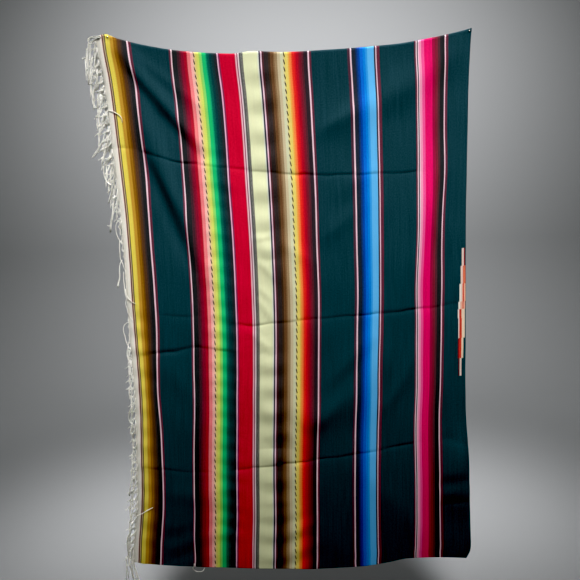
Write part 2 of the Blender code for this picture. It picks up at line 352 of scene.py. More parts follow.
def finish_piece(shape, name):
    """The shape as a smooth object in the scene."""
    mesh = bpy.data.meshes.new(name)
    shape.to_mesh(mesh)
    shape.free()
    mesh.shade_smooth()
    piece = bpy.data.objects.new(name, mesh)
    bpy.context.collection.objects.link(piece)
    return piece


serape = finish_piece(sheet, "serape")
wall = serape.modifiers.new("cloth thickness", "SOLIDIFY")
wall.thickness = CLOTH_THICKNESS
wall.offset = 0.0
wall.use_even_offset = True

# The stripes from the header to the fold: each yarn shade and its width in mm. The shades of
# a run are dyed in steps from dark to light. Pattern: plain, marl (two shades twisted
# together), heather (dark and pale fibres carded together) or float (dark picks that float
# over the pale ones in slanting dashes).
YARN = {
    "raw cotton": (234, 229, 216), "cotton pink": (244, 230, 218), "thin maroon": (92, 30, 42),
    "straw": (188, 168, 131), "olive black": (52, 44, 28), "yellow": (232, 212, 88),
    "deep yellow": (216, 187, 72), "gold": (193, 145, 50), "ochre": (146, 98, 18),
    "umber": (110, 70, 15), "walnut": (84, 52, 32), "blackish brown": (57, 42, 42),
    "black": (31, 32, 38), "pink white": (244, 222, 228), "maroon": (100, 38, 58),
    "deep teal": (12, 54, 65), "wine black": (66, 33, 45), "dark wine": (100, 25, 45),
    "wine": (135, 13, 46), "crimson": (172, 9, 42), "coral": (242, 125, 128),
    "light peach": (251, 185, 175), "peach float": (240, 200, 160), "primrose": (230, 215, 120),
    "yellow green": (220, 227, 103), "lime": (155, 212, 95), "spring green": (130, 222, 115),
    "green": (28, 192, 112), "mid green": (21, 164, 118), "sea green": (0, 108, 82),
    "dark sea green": (4, 85, 77), "green teal": (6, 60, 64), "green black": (20, 48, 54),
    "near black": (40, 38, 46), "lavender pink": (236, 196, 220), "purple maroon": (139, 36, 79),
    "carmine": (206, 0, 48), "dark carmine": (176, 16, 56), "rose white": (240, 196, 206),
    "plum": (140, 66, 88), "pale lilac": (232, 212, 214), "iron": (84, 78, 82),
    "heather grey": (134, 136, 124), "pale cream green": (230, 232, 185),
    "pale cream": (225, 230, 207), "navy black": (44, 40, 58),
    "lavender white": (240, 218, 228), "maroon black": (78, 34, 44), "warm black": (48, 38, 40),
    "bark": (65, 42, 30), "brown": (103, 69, 42), "light brown": (130, 98, 65),
    "tan": (156, 128, 94), "beige": (205, 190, 152), "ecru": (215, 214, 178),
    "ecru float": (225, 212, 140), "warm yellow": (235, 212, 108), "apricot": (243, 170, 75),
    "orange": (250, 128, 68), "vermilion": (236, 65, 40), "scarlet": (230, 38, 34),
    "red": (212, 12, 34), "deep red": (178, 6, 37), "garnet": (145, 12, 40),
    "dark garnet": (120, 25, 46), "plum black": (88, 34, 47), "soft black": (46, 33, 43),
    "dull maroon": (80, 40, 58), "blue black": (33, 40, 55), "navy": (16, 40, 75),
    "dark blue": (18, 56, 118), "royal blue": (8, 66, 160), "bright blue": (6, 102, 207),
    "azure": (8, 126, 218), "sky blue": (50, 155, 230), "light blue": (95, 182, 240),
    "light pink": (248, 150, 184),
    "mid pink": (246, 85, 150), "hot magenta": (233, 9, 100), "dark magenta": (155, 10, 61),
    "magenta maroon": (125, 30, 52), "brown maroon": (84, 40, 52),
}
PLAIN, HEATHER, MARL, FLOAT = 1.0, 0.75, 0.5, 0.0
Stripe = namedtuple("Stripe", "yarn width pattern", defaults=(PLAIN,))
STRIPES = [Stripe(*row) for row in (
    # header and gold run
    ("raw cotton", 12), ("cotton pink", 3), ("thin maroon", 3), ("straw", 3.5),
    ("olive black", 2.5), ("yellow", 11), ("deep yellow", 2), ("gold", 9), ("ochre", 8),
    ("umber", 5), ("walnut", 7), ("blackish brown", 6), ("black", 11.3), ("pink white", 4.0, MARL),
    ("maroon", 6.7), ("deep teal", 98.5),
    # wine, peach and green run
    ("maroon", 4.3), ("pink white", 3.3, MARL), ("black", 13.9), ("wine black", 6),
    ("dark wine", 5), ("wine", 7), ("crimson", 9.5), ("coral", 10), ("light peach", 7.5),
    ("peach float", 5, FLOAT), ("primrose", 5), ("yellow green", 7), ("lime", 4),
    ("spring green", 5.5), ("green", 9.5), ("mid green", 3), ("sea green", 3.5),
    ("dark sea green", 4.5), ("green teal", 7), ("green black", 7), ("near black", 8.3),
    # carmine band and the pale band
    ("lavender pink", 3.8, MARL), ("purple maroon", 4.9), ("carmine", 40), ("dark carmine", 2),
    ("rose white", 3.2, MARL), ("plum", 3), ("pale lilac", 3.8), ("iron", 3.4),
    ("heather grey", 6.6, HEATHER), ("pale cream green", 39), ("pale cream", 4),
    ("navy black", 4.1), ("lavender white", 3.8, MARL),
    # brown, yellow and red run
    ("maroon black", 6.1), ("warm black", 12), ("bark", 5), ("brown", 8.5), ("light brown", 3.5),
    ("tan", 8), ("beige", 8), ("ecru", 9), ("ecru float", 4.5, FLOAT), ("warm yellow", 8.5),
    ("apricot", 3.5), ("orange", 5), ("vermilion", 3.5), ("scarlet", 6), ("red", 4),
    ("deep red", 5.5), ("garnet", 4.5), ("dark garnet", 5), ("plum black", 6),
    ("soft black", 12.2), ("pink white", 3.5, MARL), ("maroon", 6.3), ("deep teal", 101),
    # blue run
    ("dull maroon", 7.8), ("pink white", 3.3, MARL), ("blue black", 9.9), ("navy", 4),
    ("dark blue", 4), ("royal blue", 6), ("bright blue", 8), ("azure", 7.5), ("sky blue", 4.5),
    ("light blue", 19), ("navy black", 4), ("pink white", 3.3, MARL), ("maroon", 8.7),
    ("deep teal", 96),
    # magenta run
    ("maroon", 4.6), ("pink white", 2.8, MARL), ("navy black", 3.1), ("pale lilac", 1.8),
    ("light pink", 7), ("mid pink", 8.2), ("hot magenta", 22.5), ("dark magenta", 8),
    ("magenta maroon", 7.5), ("brown maroon", 6.5), ("black", 12.3), ("pink white", 3.4, MARL),
    ("maroon", 6.3), ("deep teal", 54),
)]


PALEST_BLACK = 0.032         # wool fibre gives back this much light even where it is dyed black
MIDDLE_SHADE, MIDDLE_DYE = 0.18, 0.20
DYE_CONTRAST = 0.87          # the view adds contrast, so the dyes have less


def dyed(shade):
    """A shade given as it looks in full light, as the linear colour of the fibre."""
    linear = [((part / 255 + 0.055) / 1.055) ** 2.4 if part > 10 else part / 255 / 12.92
              for part in shade]
    return tuple(MIDDLE_DYE * (part / MIDDLE_SHADE) ** DYE_CONTRAST + PALEST_BLACK
                 for part in linear)


# A lozenge in stepped rows sits beside the fold, each row a slit-joined run of colours. Rows
# run down it: height, then the yarns from left to right by where each ends, in mm from its
# centre.
LOZENGE_CENTRE = (1.0178, 0.7825)    # from the header and from the upper selvage
LOZENGE_REACH = 12.0         # half of the widest row, and a little over
LOZENGE_YARN = {
    "pale": (228, 206, 190), "dark red": (140, 22, 34), "coral": (226, 110, 80),
    "white": (236, 226, 214), "peach": (240, 178, 150), "red": (214, 62, 44),
    "cream": (238, 214, 186), "maroon": (96, 20, 34),
}
LozengeRow = namedtuple("LozengeRow", "height start runs")
LOZENGE = (
    LozengeRow(50, -0.5, (("pale", 5.5), ("dark red", 8.5))),
    LozengeRow(51, -3.5, (("pale", 2.5), ("coral", 10.0))),
    LozengeRow(51, -7.0, (("white", -0.5), ("peach", 2.5), ("red", 5.5), ("peach", 10.0))),
    LozengeRow(22, -9.5, (("white", -4.0), ("peach", 2.0), ("red", 4.5), ("peach", 9.0))),
    LozengeRow(26, -11.0, (("white", -7.0), ("red", -1.0), ("cream", 8.0))),
    LozengeRow(58, -9.5, (("white", -6.5), ("red", 0.0), ("cream", 8.0))),
    LozengeRow(59, -10.0, (("dark red", -6.5), ("red", -1.0), ("cream", 4.5))),
    LozengeRow(52, -8.5, (("maroon", -5.0), ("pale", 0.0))),
)


class Nodes:
    """Adds and links the nodes of one material or node group."""

    def __init__(self, tree):
        self.tree = tree

    def add(self, kind, *inputs, **settings):
        node = self.tree.nodes.new(kind)
        for name, value in settings.items():
            setattr(node, name, value)
        for place, value in enumerate(inputs):
            self.feed(node.inputs[place], value)
        return node

    def feed(self, socket, value):
        if value is None:
            return
        if isinstance(value, bpy.types.NodeSocket):
            self.tree.links.new(value, socket)
        else:
            socket.default_value = value

    def math(self, operation, *inputs):
        return self.add("ShaderNodeMath", *inputs, operation=operation).outputs[0]

    times, plus = partialmethod(math, "MULTIPLY"), partialmethod(math, "ADD")
    minus, over = partialmethod(math, "SUBTRACT"), partialmethod(math, "DIVIDE")
    above, below = partialmethod(math, "GREATER_THAN"), partialmethod(math, "LESS_THAN")
    sine, size = partialmethod(math, "SINE"), partialmethod(math, "ABSOLUTE")
    scaled, near = partialmethod(math, "MULTIPLY_ADD"), partialmethod(math, "COMPARE")

    def mix(self, share, low, high, blend="MIX"):
        node = self.add("ShaderNodeMix", data_type="RGBA", blend_type=blend)
        for place, value in ((0, share), (6, low), (7, high)):
            plain = isinstance(value, tuple) and len(value) == 3
            self.feed(node.inputs[place], (*value, 1.0) if plain else value)
        return node.outputs[2]

    def darken(self, colour, tone):
        grey = self.add("ShaderNodeCombineXYZ", tone, tone, tone).outputs[0]
        return self.mix(1.0, colour, grey, blend="MULTIPLY")

    def noise(self, place, scale=1.0, detail=2.0):
        node = self.add("ShaderNodeTexNoise", place)
        node.inputs["Scale"].default_value = scale
        node.inputs["Detail"].default_value = detail
        return node.outputs[0]

    def bump(self, shader, height, strength, distance):
        node = self.add("ShaderNodeBump")
        node.inputs["Strength"].default_value = strength
        node.inputs["Distance"].default_value = distance
        self.feed(node.inputs["Height"], height)
        self.feed(shader.inputs["Normal"], node.outputs[0])

    def ramp(self, position, stops, interpolation="CONSTANT"):
        """A colour ramp from (position, colour with alpha) stops. Gives its two outputs."""
        node = self.add("ShaderNodeValToRGB", position)
        elements = node.color_ramp.elements
        node.color_ramp.interpolation = interpolation
        while len(elements) < len(stops):
            elements.new(1.0)
        for element, (place, colour) in zip(elements, stops):
            element.position = place
            element.color = colour
        return node.outputs


def new_material(name):
    """A material, its nodes and its shader."""
    material = bpy.data.materials.new(name)
    material.use_nodes = True
    return material, Nodes(material.node_tree), material.node_tree.nodes["Principled BSDF"]


RAMP_STOPS = 30              # a colour ramp holds a few more than this


def stripe_colours(nodes, along):
    """Yarn colour and pattern code at a distance from the header, from several ramps in turn."""
    colour = pattern = None
    start = 0.0
    for first in range(0, len(STRIPES), RAMP_STOPS):
        run = STRIPES[first:first + RAMP_STOPS]
        length = sum(stripe.width for stripe in run) / 1000
        stops, at = [], 0.0
        for stripe in run:
            stops.append((at / length, (*dyed(YARN[stripe.yarn]), stripe.pattern)))
            at += stripe.width / 1000
        share = nodes.over(nodes.minus(along, start), length)
        run_colour, run_pattern = nodes.ramp(share, stops)
        if colour is None:
            colour, pattern = run_colour, run_pattern
        else:
            past = nodes.above(along, start)
            colour = nodes.mix(past, colour, run_colour)
            step = nodes.minus(run_pattern, pattern)
            pattern = nodes.scaled(step, past, pattern)
        start += length
    return colour, pattern


def lozenge_colours(nodes, along, down):
    """The lozenge's colour, and a mask that is 1 where it covers the ground."""
    share = nodes.scaled(nodes.minus(along, LOZENGE_CENTRE[0]), 500 / LOZENGE_REACH, 0.5)
    top = LOZENGE_CENTRE[1] - sum(row.height for row in LOZENGE) / 2000
    colour, mask = (0.0, 0.0, 0.0), 0.0
    for row in LOZENGE:
        stops, left = [(0.0, (0, 0, 0, 0))], row.start
        for yarn, right in row.runs:
            stops.append((0.5 + left / (2 * LOZENGE_REACH), (*dyed(LOZENGE_YARN[yarn]), 1.0)))
            left = right
        stops.append((0.5 + left / (2 * LOZENGE_REACH), (0, 0, 0, 0)))
        row_colour, row_mask = nodes.ramp(share, stops)
        past = nodes.above(down, top)
        colour = nodes.mix(past, colour, row_colour)
        mask = nodes.scaled(nodes.minus(row_mask, mask), past, mask)
        top += row.height / 1000
    ended = nodes.below(down, top)
    return colour, nodes.times(mask, ended)


WARP_PITCH = 0.0032          # one rib of the weft-faced weave for each warp end
WEFT_PITCH = 0.0011          # one pick of wool
TOOTH = 0.4                  # how far a stripe's edge jogs between ribs, in picks
MARL_TWIST = 0.0062          # one turn of the two plies
MARL_SLANT, MARL_STRENGTH = 1.2, 0.34
MARL_DARK = (206, 96, 128)
SPECK_FINENESS, SPECK_STRENGTH = (620.0, 240.0), 0.8
HEATHER_DARK = (58, 56, 60)
# The two float lines: how far each is from the header, and the dashes that cross it
FLOAT_LINES = (0.2615, 0.5123)
DASH_PITCH, DASH_SHARE = 0.0200, 0.70
DASH_SLANT, DASH_START = 0.0060, -0.0021
DASH_HALF_WIDTH = 0.0016
DASH_DARK = (44, 34, 24)
PATTERN_MARGIN = 0.1         # a pattern code read from a ramp is this close to its own value
# Unevenness of the dye, across the stripes and along them: broad dye lots and fine fibres
LOT_FINENESS, LOT_STRENGTH = (150.0, 3.0), 0.30
FIBRE_FINENESS, FIBRE_STRENGTH = (320.0, 260.0), 0.95
STREAK_STRENGTH = 0.55
EVEN_LEVEL = 0.90            # about the middle of the three together
# Pale yarn shows less of it than dark yarn
UNEVEN_DARK, UNEVEN_FALL, UNEVEN_LEAST = 0.9, -1.6, 0.16
# painted shade: the wool's colour is darker where the weave is low between the ribs and lighter on
# the ribs
GROOVE_SHADE_TONE, RIB_SHADE_GAIN = 0.86, 0.24


def weave_group():
    """Weft-faced plain weave: picks of wool bent over the warp, every other one in step.

    Gives the surface height, from 0 to 1, and a pick-by-pick colour variation."""
    group = bpy.data.node_groups.new("weft-faced weave", "ShaderNodeTree")
    for name in ("Along Warp", "Along Weft"):
        group.interface.new_socket(name, in_out="INPUT", socket_type="NodeSocketFloat")
    for name in ("Height", "Streak", "Tooth"):
        group.interface.new_socket(name, in_out="OUTPUT", socket_type="NodeSocketFloat")
    nodes = Nodes(group)
    warp, weft = nodes.add("NodeGroupInput").outputs[:2]
    pick = nodes.over(warp, WEFT_PITCH)
    pick_number = nodes.math("FLOOR", pick)
    odd = nodes.times(nodes.math("MODULO", pick_number, 2.0), 0.5)
    rib = nodes.plus(nodes.over(weft, 2 * WARP_PITCH), odd)
    over = nodes.size(nodes.sine(nodes.times(rib, math.pi)))
    crown = nodes.size(nodes.sine(nodes.times(pick, math.pi)))
    height = nodes.times(nodes.math("POWER", over, 0.6), nodes.math("POWER", crown, 0.5))
    place = nodes.add("ShaderNodeCombineXYZ", nodes.times(pick_number, 0.37),
                      nodes.times(weft, 9.0), 0.0).outputs[0]
    bend = nodes.sine(nodes.times(weft, math.pi / WARP_PITCH))
    tooth = nodes.times(bend, TOOTH * WEFT_PITCH)
    nodes.add("NodeGroupOutput", height, nodes.noise(place), tooth)
    return group


def wool_material():
    material, nodes, shader = new_material("wool weave")
    place = nodes.add("ShaderNodeAttribute", attribute_name="woven").outputs["Vector"]
    warp, weft = nodes.add("ShaderNodeSeparateXYZ", place).outputs[:2]
    weave = nodes.add("ShaderNodeGroup", warp, weft, node_tree=weave_group())
    height, streak, tooth = weave.outputs[:3]

    # past the fold the stripes come again in the opposite order
    mirrored = nodes.math("MINIMUM", warp, nodes.minus(2 * CLOTH_HALF, warp))
    colour, pattern = stripe_colours(nodes, nodes.plus(mirrored, tooth))

    # marl: the twist of the two plies shows as fine slanting bars
    slope = nodes.plus(weft, nodes.times(mirrored, MARL_SLANT))
    twist = nodes.sine(nodes.times(slope, 2 * math.pi / MARL_TWIST))
    is_marl = nodes.near(pattern, MARL, PATTERN_MARGIN)
    marl = nodes.times(is_marl, nodes.scaled(twist, 0.5, 0.5))
    colour = nodes.mix(nodes.times(marl, MARL_STRENGTH), colour, dyed(MARL_DARK))

    def mottle(fine_across, fine_down):
        """Noise over the woven place, finer for larger numbers."""
        spread = nodes.add("ShaderNodeCombineXYZ", nodes.times(warp, fine_across),
                           nodes.times(weft, fine_down), 0.0)
        return nodes.noise(spread.outputs[0])

    # heather: specks of dark fibre along each pick
    dark_fibre = nodes.above(mottle(*SPECK_FINENESS), 0.50)
    is_heather = nodes.near(pattern, HEATHER, PATTERN_MARGIN)
    speck = nodes.times(is_heather, nodes.times(dark_fibre, SPECK_STRENGTH))
    colour = nodes.mix(speck, colour, dyed(HEATHER_DARK))

    # floats: dark dashes that slant across their line
    is_float = nodes.near(pattern, FLOAT, PATTERN_MARGIN)
    second = nodes.above(mirrored, sum(FLOAT_LINES) / 2)
    line_centre = nodes.scaled(second, FLOAT_LINES[1] - FLOAT_LINES[0], FLOAT_LINES[0])
    beat = nodes.math("FRACT", nodes.over(weft, DASH_PITCH))
    slant = nodes.scaled(beat, DASH_SLANT, DASH_START)
    aside = nodes.minus(nodes.minus(mirrored, line_centre), slant)
    narrow = nodes.below(nodes.size(aside), DASH_HALF_WIDTH)
    dash = nodes.times(narrow, nodes.below(beat, DASH_SHARE))
    colour = nodes.mix(nodes.times(dash, is_float), colour, dyed(DASH_DARK))

    lozenge, covered = lozenge_colours(nodes, warp, weft)
    colour = nodes.mix(covered, colour, lozenge)

    # dye takes unevenly from pick to pick, and shade is painted into the colour between the ribs,
    # darker where the weave is low
    light = nodes.add("ShaderNodeRGBToBW", colour).outputs[0]
    depth_of_dye = nodes.math("MAXIMUM", nodes.scaled(light, UNEVEN_FALL, UNEVEN_DARK),
                              UNEVEN_LEAST)
    lots = nodes.times(mottle(*LOT_FINENESS), LOT_STRENGTH)
    both = nodes.scaled(streak, STREAK_STRENGTH, lots)
    both = nodes.scaled(mottle(*FIBRE_FINENESS), FIBRE_STRENGTH, both)
    uneven = nodes.scaled(nodes.minus(both, EVEN_LEVEL), depth_of_dye, 1.0)
    painted_groove_shade = nodes.scaled(height, RIB_SHADE_GAIN, GROOVE_SHADE_TONE)
    colour = nodes.darken(colour, nodes.times(uneven, painted_groove_shade))
    nodes.feed(shader.inputs["Base Color"], colour)

    nodes.feed(shader.inputs["Roughness"], nodes.scaled(streak, 0.12, 0.80))
    nodes.bump(shader, height, 0.45, 0.0005)
    shader.inputs["Specular IOR Level"].default_value = 0.06
    shader.inputs["Sheen Weight"].default_value = 0.008
    shader.inputs["Sheen Roughness"].default_value = 0.5
    return material


serape.data.materials.append(wool_material())
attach(serape, "root")
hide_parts("serape_cloth")

# The fringe.
# The cotton warp ends left beyond both ends of the cloth. They are knotted in bundles into a
# narrow net against the header and left loose as short tassels. Hung sideways, the net
# droops, tucks itself in behind the header halfway down, and the tassels swing out or cling.

BUNDLES = 68                 # bundles of warp ends knotted along one end of the cloth
YARN_RADIUS = 0.00112
YARN_SIDES = 6
YARN_STEPS = 3               # tube lengths between two points of a yarn's route
TASSEL_YARNS = 2
TASSEL_STEPS = 5
TUCK_DEPTH = 0.0045          # between the two layers of the cloth
TIE_TURNS, TIE_POINTS = 1.6, 7
TIE_RADIUS, TIE_LENGTH = 0.0016, 0.0034
# The two rows of knots: share of the net's reach, and how far each knot has drooped
INNER_ROW, OUTER_ROW = (0.42, 0.010), (0.92, 0.022)
LEG_SHARE, PAIR_SHARE = 0.30, 0.07       # of a bundle, from the middle of it to its yarns
REACH_STRAY = 0.22           # of the reach, nearer or further
KNOT_STRAY = (0.0020, 0.0007, 0.003)
TUCK_START, TUCK_RANGE = 0.003, 0.008    # the net comes out of its tuck over these reaches
STICKS_OUT_FROM, HANGS_FROM = 0.007, 0.015      # reach with loose yarns, hang with a tassel
DROOP_CHANCE, DROOP_START, DROOP_SAG = 0.7, (0.0005, 0.0040), (0.004, 0.012)
STICK_CHANCE, STICK_LENGTH, STICK_FALL = 0.6, (0.005, 0.012), (0.1, 1.1)
TASSEL_LENGTH, TASSEL_LEAN, TASSEL_SPLAY = (0.75, 1.15), 0.10, 0.0016
CLING_GAP, CLING_RANGE = 0.0015, 0.004   # how far out from the edge a tassel hangs at least
HANK_FORWARD = (0.0004, 0.0034)

# How far the net reaches out from the header, and how long its tassels hang
Net = namedtuple("Net", "down reach hang")
NET = (
    Net(0.00, 0.026, 0.050), Net(0.04, 0.030, 0.055), Net(0.10, 0.027, 0.045),
    Net(0.20, 0.027, 0.040), Net(0.27, 0.020, 0.030), Net(0.31, 0.011, 0.0), Net(0.36, 0.004, 0.0),
    Net(0.42, -0.006, 0.0), Net(0.52, -0.006, 0.0), Net(0.57, 0.008, 0.020),
    Net(0.64, 0.011, 0.034), Net(0.72, 0.012, 0.034), Net(0.79, 0.013, 0.034),
    Net(0.84, 0.018, 0.040), Net(0.90, 0.021, 0.046), Net(1.00, 0.021, 0.046),
)

# Ends that have worked loose, as (x, z) routes in mm, with how many yarns run together and
# how far they splay. The last few lie over the face of the cloth.
Hank = namedtuple("Hank", "yarns splay route")
HANKS = (
    # level from the top of the header, then straight down
    Hank(3, 4.0, ((-20, 0), (-36, -1), (-48, -5), (-52, -22), (-54, -51), (-56, -90),
                  (-58, -122))),
    Hank(2, 3.0, ((-28, -4), (-44, -12), (-49, -34), (-49, -60), (-48, -92), (-45, -117))),
    Hank(2, 2.0, ((-18, 2), (-34, 2), (-50, -1), (-54, -9), (-48, -16), (-38, -14))),
    Hank(2, 3.5, ((-30, -30), (-38, -52), (-40, -78), (-36, -104), (-38, -130))),
    # looped back on itself
    Hank(2, 3.5, ((-32, -84), (-34, -110), (-43, -134), (-49, -160), (-47, -182), (-40, -188),
                  (-35, -173), (-31, -150))),
    Hank(2, 3.5, ((-28, -150), (-32, -184), (-37, -210), (-38, -229), (-35, -238))),
    Hank(2, 2.5, ((-22, -228), (-31, -236), (-40, -241))),
    Hank(2, 3.5, ((-22, -205), (-26, -230), (-32, -248), (-34, -264))),
    # thrown outwards
    Hank(4, 3.0, ((-8, -262), (-17, -271), (-30, -281), (-41, -296), (-50, -310), (-61, -323))),
    Hank(3, 2.0, ((-4, -285), (-14, -293), (-27, -301), (-40, -306), (-52, -312))),
    Hank(3, 2.5, ((-12, -266), (-18, -284), (-26, -309), (-31, -325), (-36, -341))),
    Hank(2, 2.0, ((-5, -322), (-11, -326), (-25, -336), (-31, -352), (-31, -374), (-27, -386),
                  (-20, -396), (-12, -400))),
    Hank(2, 2.0, ((-1, -338), (-6, -348), (-13, -362), (-15, -378), (-13, -400), (-9, -424),
                  (-5, -438))),
    Hank(3, 1.5, ((-6, -392), (-12, -415), (-18, -434), (-23, -451))),
    Hank(2, 2.0, ((0, -458), (-5, -466), (-11, -482), (-14, -499))),
    Hank(4, 2.5, ((-4, -432), (-8, -451), (-12, -470), (-16, -490), (-20, -510), (-23, -532))),
    Hank(1, 0.0, ((-12, -470), (-20, -508), (-25, -514), (-32, -512))),
    Hank(1, 0.0, ((-12, -474), (-8, -463), (-2, -460), (3, -469), (5, -487))),
    Hank(1, 0.0, ((11, -572), (4, -559), (-3, -545), (-7, -524), (-4, -507), (2, -502), (7, -509),
                  (9, -520))),
    Hank(2, 1.2, ((2, -555), (0, -577), (0, -595), (1, -611), (5, -620), (10, -640))),
    Hank(4, 2.2, ((5, -612), (-1, -622), (-4, -640), (-5, -662), (-9, -676), (-12, -689))),
    Hank(2, 1.0, ((8, -645), (7, -665), (8, -690), (10, -713), (15, -728))),
    Hank(1, 0.0, ((11, -724), (9, -736), (11, -750), (17, -772), (27, -789))),
    Hank(1, 0.0, ((15, -790), (7, -793), (-1, -802), (-3, -816), (0, -830), (3, -846), (9, -861),
                  (18, -875))),
    Hank(2, 1.4, ((9, -862), (4, -880), (5, -896), (12, -917), (10, -946))),
    Hank(2, 1.4, ((13, -985), (8, -996), (3, -1004))),
    Hank(2, 1.4, ((9, -1038), (0, -1060), (2, -1086), (10, -1094), (3, -1112), (9, -1134))),
    Hank(1, 0.0, ((9, -1180), (4, -1193), (-6, -1196))),
    Hank(1, 0.0, ((8, -1222), (4, -1229), (-2, -1226))),
    Hank(3, 2.4, ((6, -1250), (-7, -1272), (-11, -1290), (-14, -1310))),
    Hank(2, 3.0, ((0, -1292), (-10, -1298), (-20, -1300))),
    Hank(2, 2.0, ((-10, -1405), (-19, -1424), (-26, -1440), (-28, -1454))),
    # the longest ends, below the lower corner
    Hank(5, 3.2, ((-14, -1430), (-24, -1466), (-29, -1496), (-27, -1522), (-21, -1550),
                  (-13, -1580), (-5, -1612))),
    Hank(4, 3.0, ((-14, -1470), (-18, -1496), (-14, -1522), (-7, -1552), (-1, -1580), (6, -1604))),
    # over the face of the cloth
    Hank(1, 0.0, ((-10, -196), (4, -200), (17, -207), (27, -218), (28, -231))),
    Hank(1, 0.0, ((10, -694), (13, -714), (24, -730), (38, -738))),
    Hank(1, 0.0, ((-2, -1376), (14, -1370), (37, -1357), (54, -1348))),
    # the end of a stripe's yarn, looped out under the lower selvage
    Hank(1, 0.0, ((170, -1526), (168, -1536), (164, -1544), (169, -1551), (182, -1555),
                  (193, -1553), (199, -1544))),
)


def read_column(rows, name, at):
    return float(np.interp(at, [row.down for row in rows], [getattr(row, name) for row in rows]))


edge_stations = np.linspace(0, 1, 301)
edge_x, edge_z, edge_depth = front_place(np.zeros(edge_stations.shape), edge_stations)
cloth_surface = BVHTree.FromObject(serape, bpy.context.evaluated_depsgraph_get())


class FringedEnd:
    """One end of the cloth: where its header's edge is, and the yarns knotted to it."""

    def __init__(self, seed, inset, behind, share):
        self.random = random.Random(seed)
        self.inset, self.behind, self.share = inset, behind, share
        self.yarns = []

    def stray(self, size):
        return self.random.uniform(-size, size)

    def edge(self, down):
        x, z, depth = (float(np.interp(down, edge_stations, row))
                       for row in (edge_x, edge_z, edge_depth))
        depth = float(back_depth(depth)) if self.behind else depth
        return Vector((x + self.inset, -depth, z))

    def knot_place(self, down, row_share, droop):
        """A knot of the net. Where the net tucks in, the knot goes between the layers."""
        edge = self.edge(down)
        reach = read_column(NET, "reach", down) * self.share * (1 + self.stray(REACH_STRAY))
        tucked = 1 - min(max((reach - TUCK_START) / TUCK_RANGE, 0), 1)
        depth = edge.y + ((-TUCK_DEPTH - edge.y) * tucked if not self.behind else 0)
        fall = droop * (0.5 + 0.5 * min(reach / 0.02, 1))
        aside, forward, lower = (self.stray(size) for size in KNOT_STRAY)
        return Vector((edge.x - reach * row_share + aside, depth + forward,
                       edge.z - fall + lower))

    def add_yarn(self, route, splay):
        """A yarn that runs with its fellows: moved sideways a little more at its tip."""
        aside, forward = self.stray(splay), self.stray(0.0009)
        last = len(route) - 1
        moved = []
        for step, place in enumerate(route):
            share = step / last
            moved.append(place + Vector((aside * (0.25 + 0.75 * share), forward,
                                         self.stray(splay * 0.4))))
        self.yarns.append(moved)

    def tie(self, knot, along):
        """A wrap and a half round the bundle at a knot."""
        along = along.normalized()
        side = along.orthogonal().normalized()
        over = along.cross(side)
        wrap = []
        for step in range(TIE_POINTS):
            share = step / (TIE_POINTS - 1)
            angle = 2 * math.pi * TIE_TURNS * share + knot.x * 900
            wrap.append(knot + (side * math.cos(angle) + over * math.sin(angle)) * TIE_RADIUS
                        + along * TIE_LENGTH * (share - 0.5))
        self.yarns.append(wrap)

    def hang_tassel(self, knot, length):
        """Yarns that hang from a knot, and cling to the header where it leans out over them."""
        for _ in range(TASSEL_YARNS):
            route, reach = [], length * self.random.uniform(*TASSEL_LENGTH)
            lean = self.stray(TASSEL_LEAN)
            for step in range(TASSEL_STEPS + 1):
                share = step / TASSEL_STEPS
                fall = reach * share
                place = knot + Vector((lean * fall + self.stray(0.0014) * share, 0, -fall))
                line = float(np.interp(-place.z, -edge_z, edge_x)) + self.inset
                place.x = min(place.x, line - CLING_GAP - self.random.uniform(0, CLING_RANGE))
                route.append(place)
            self.add_yarn(route, TASSEL_SPLAY)

    def header_place(self, down, inside):
        """A place on the face of the header, inside its edge."""
        place = self.edge(min(max(down, 0), 1))
        place.y += (CLOTH_THICKNESS / 2 + YARN_RADIUS) * (1 if self.behind else -1)
        return place + Vector((inside, 0, 0))

    def make_net(self):
        """Two rows of knots below each other's gaps, with loops that droop between them."""
        inner = [self.knot_place(step / BUNDLES, *INNER_ROW) for step in range(BUNDLES + 1)]
        outer = [self.knot_place((step + 0.5) / BUNDLES, *OUTER_ROW) for step in range(BUNDLES)]
        for step, knot in enumerate(outer):
            down = (step + 0.5) / BUNDLES
            reach = read_column(NET, "reach", down)
            for share, near in ((-LEG_SHARE, inner[step]), (LEG_SHARE, inner[step + 1])):
                for pair in (-PAIR_SHARE, PAIR_SHARE):
                    leaves = min(max(down + (share + pair) / BUNDLES, 0), 1)
                    start = self.edge(leaves) + Vector((0.002, 0, 0))
                    sag = Vector((0, self.stray(0.0006), -0.002))
                    self.add_yarn([start, start.lerp(near, 0.5) + sag, near], 0.0008)
                    sag = Vector((self.stray(0.0018), self.stray(0.0006), -0.003))
                    self.add_yarn([near, near.lerp(knot, 0.5) + sag, knot], 0.0009)
            self.tie(knot, Vector((-0.4, 0, -1)))
            if reach > STICKS_OUT_FROM:
                if self.random.random() < DROOP_CHANCE:
                    self.droop(down, outer[min(step + self.random.choice((1, 2)), BUNDLES - 1)])
                if self.random.random() < STICK_CHANCE:
                    self.stick_out(knot)
            hang = read_column(NET, "hang", down)
            if hang > HANGS_FROM:
                self.hang_tassel(knot, hang)
        for knot in inner:
            self.tie(knot, Vector((-1, 0, -0.5)))

    def droop(self, down, knot):
        """A slack yarn from the header to a lower knot."""
        start = self.header_place(down, self.random.uniform(*DROOP_START))
        sag = self.random.uniform(*DROOP_SAG)
        low = start.lerp(knot, 0.35) + Vector((self.stray(0.002), -0.0008, -sag))
        rising = start.lerp(knot, 0.75) + Vector((self.stray(0.002), -0.0004, -sag * 0.7))
        self.add_yarn([start, low, rising, knot], 0.0006)

